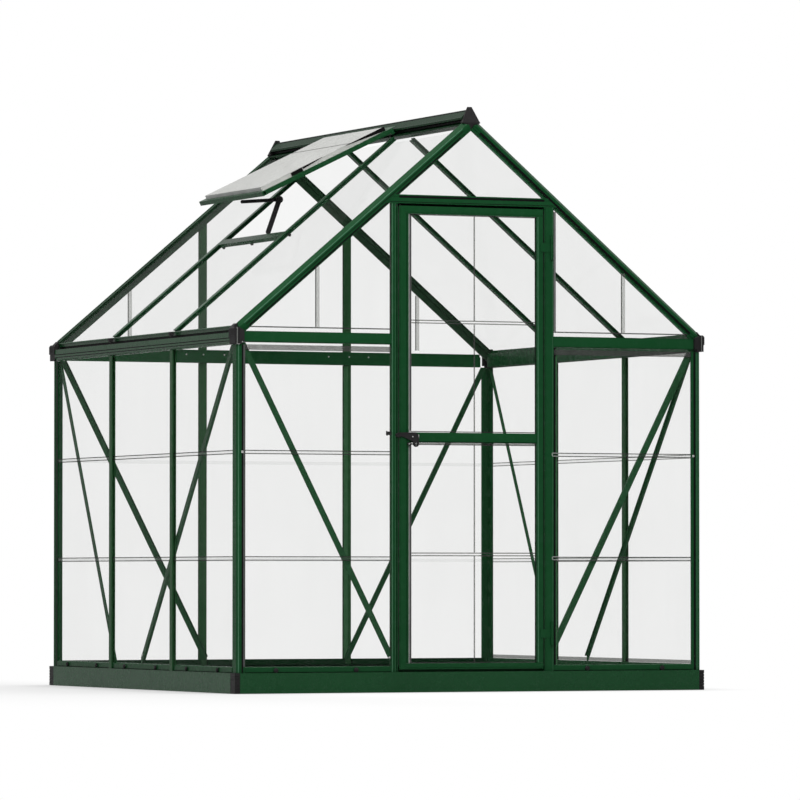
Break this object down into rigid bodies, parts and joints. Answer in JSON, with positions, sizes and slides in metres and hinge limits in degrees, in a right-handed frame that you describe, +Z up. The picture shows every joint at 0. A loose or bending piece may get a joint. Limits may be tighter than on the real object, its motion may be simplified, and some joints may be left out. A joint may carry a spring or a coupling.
{
  "type": "polycarbonate greenhouse",
  "caption": "Walk-in gable-roofed greenhouse: green metal profiles, clear polycarbonate sheets, a hinged door in the front gable and a roof vent held open on a stay.",
  "frame": {"origin": "centre of the footprint, at ground level", "axes": "+Z up; the door is in the -Y gable; the roof vent is in the -X slope; the ridge runs along Y"},
  "size_m": [1.857, 1.85, 2.101],
  "materials": {
    "green_paint": "satin powder coat on extruded aluminium and folded steel",
    "black_plastic": "moulded, ribbed",
    "clear_sheet": "clear polycarbonate sheet",
    "clear_strip": "clear polycarbonate joint strip"
  },
  "bodies": {
    "frame": {"base_front": "green_paint", "base_back": "green_paint", "base_left": "green_paint", "base_right": "green_paint", "base_corners": "black_plastic", "sill_front": "green_paint", "sill_back": "green_paint", "sill_left": "green_paint", "sill_right": "green_paint", "corner_posts": "green_paint", "side_posts": "green_paint", "back_posts": "green_paint", "door_posts": "green_paint", "door_header": "green_paint", "beam_front": "green_paint", "beam_back": "green_paint", "gutter_left": "green_paint", "gutter_right": "green_paint", "roof_end_caps": "black_plastic", "gable_rafters_front": "green_paint", "gable_rafters_back": "green_paint", "roof_rafters": "green_paint", "ridge": "green_paint", "gable_braces": "green_paint", "side_braces": "green_paint", "wall_sheets_front": "clear_sheet", "wall_sheets_back": "clear_sheet", "wall_sheets_left": "clear_sheet", "wall_sheets_right": "clear_sheet", "joint_strips": "clear_strip", "gable_sheets_front": "clear_sheet", "gable_sheets_back": "clear_sheet", "roof_sheets_left": "clear_sheet", "roof_sheets_right": "clear_sheet", "vent_crossbar": "green_paint", "vent_frame": "green_paint", "vent_sheet": "clear_sheet", "vent_stay": "black_plastic", "door_post_hinges": "green_paint", "latch_keeper": "black_plastic"},
    "door": {"door_stiles": "green_paint", "door_rails": "green_paint", "door_sheets": "clear_sheet", "door_hinges": "green_paint", "door_latch": "black_plastic"}
  },
  "joints": [
    {"name": "door_hinge", "type": "hinge", "parent": "frame", "child": "door", "pos_m": [0.314, -0.92, 0.9], "axis": [0, 0, 1], "range_deg": [0, 165]}
  ]
}
